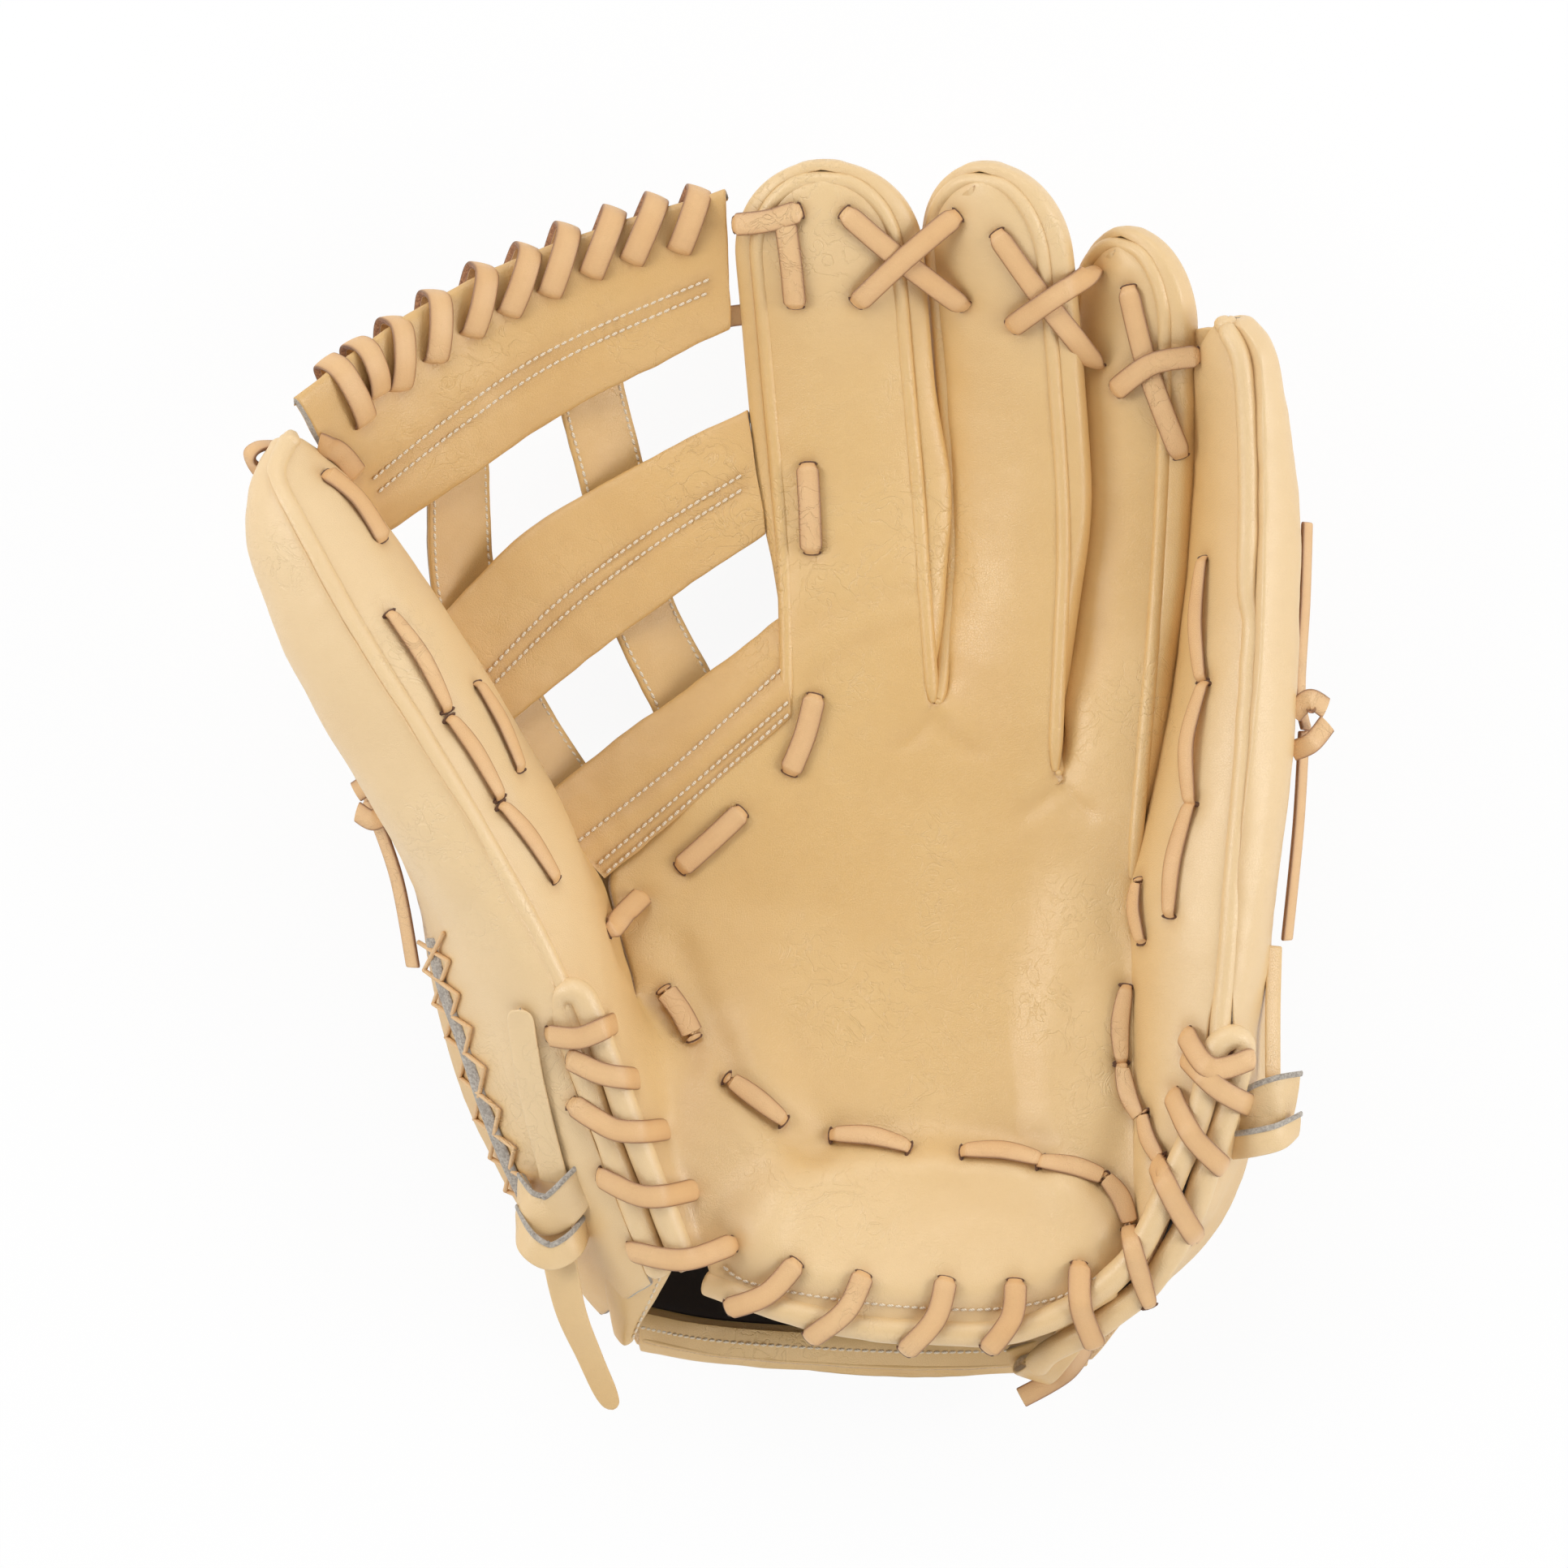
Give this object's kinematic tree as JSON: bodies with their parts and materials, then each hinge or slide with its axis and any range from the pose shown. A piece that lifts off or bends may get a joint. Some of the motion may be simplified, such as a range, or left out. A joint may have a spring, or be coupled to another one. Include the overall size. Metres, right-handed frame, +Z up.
{
  "type": "baseball_glove",
  "caption": "Right-hand thrower's leather outfield baseball glove with an H web, laced fingers and rolled heel; thumb and pinky walls fold about the palm to close the pocket.",
  "frame": {"origin": "centre of the bounding box on the table plane, the glove lying on its back", "axes": "+X from the thumb to the little finger, +Y from the heel to the fingertips, +Z up out of the palm"},
  "size_m": [0.2839, 0.3289, 0.0966],
  "materials": {
    "leather": "satin",
    "lace": "satin",
    "suede_edge": "matte",
    "felt": "matte",
    "lining": "matte"
  },
  "bodies": {
    "palm": {"palm_shell": "leather", "index_back": "leather", "middle_back": "leather", "ring_back": "leather", "index_welt": "leather", "middle_welt": "leather", "ring_welt": "leather", "palm_pad": "felt", "palm_lining": "lining", "palm_roll": "leather", "palm_lace": "lace", "palm_heel_lace": "lace", "finger_lace": "lace", "ring_pinky_lace": "lace", "knuckle_panel": "leather", "wrist_strap": "leather", "strap_lining": "lining", "heel_tail": "lace", "web_top_bar": "leather", "web_middle_bar": "leather", "web_low_bar": "leather", "web_thumb_post": "leather", "web_index_post": "leather", "web_top_lace": "lace", "web_index_lace": "lace"},
    "thumb": {"thumb_front": "leather", "thumb_back": "leather", "thumb_welt": "leather", "thumb_stay": "felt", "thumb_loop": "lining", "thumb_rolls": "leather", "thumb_heel_lace": "lace", "thumb_lace": "lace", "web_thumb_lace": "lace", "thumb_edge": "suede_edge", "strap_thong": "leather", "thumb_knot": "lace"},
    "pinky": {"pinky_front": "leather", "pinky_back": "leather", "pinky_welt": "leather", "pinky_stay": "felt", "pinky_loop": "lining", "pinky_rolls": "leather", "pinky_heel_lace": "lace", "pinky_lace": "lace", "pinky_thong": "leather", "pinky_knot": "lace"}
  },
  "joints": [
    {"name": "thumb_fold", "type": "hinge", "parent": "palm", "child": "thumb", "pos_m": [-0.0205, -0.127, 0.056], "axis": [-0.2525, 0.9493, -0.1871], "range_deg": [-6, 25], "deforming": ["web_top_bar", "web_top_lace"]},
    {"name": "pinky_fold", "type": "hinge", "parent": "palm", "child": "pinky", "pos_m": [0.092, -0.025, 0.047], "axis": [0.0049, -0.9952, 0.0976], "range_deg": [-5, 18], "deforming": ["ring_pinky_lace"]}
  ]
}
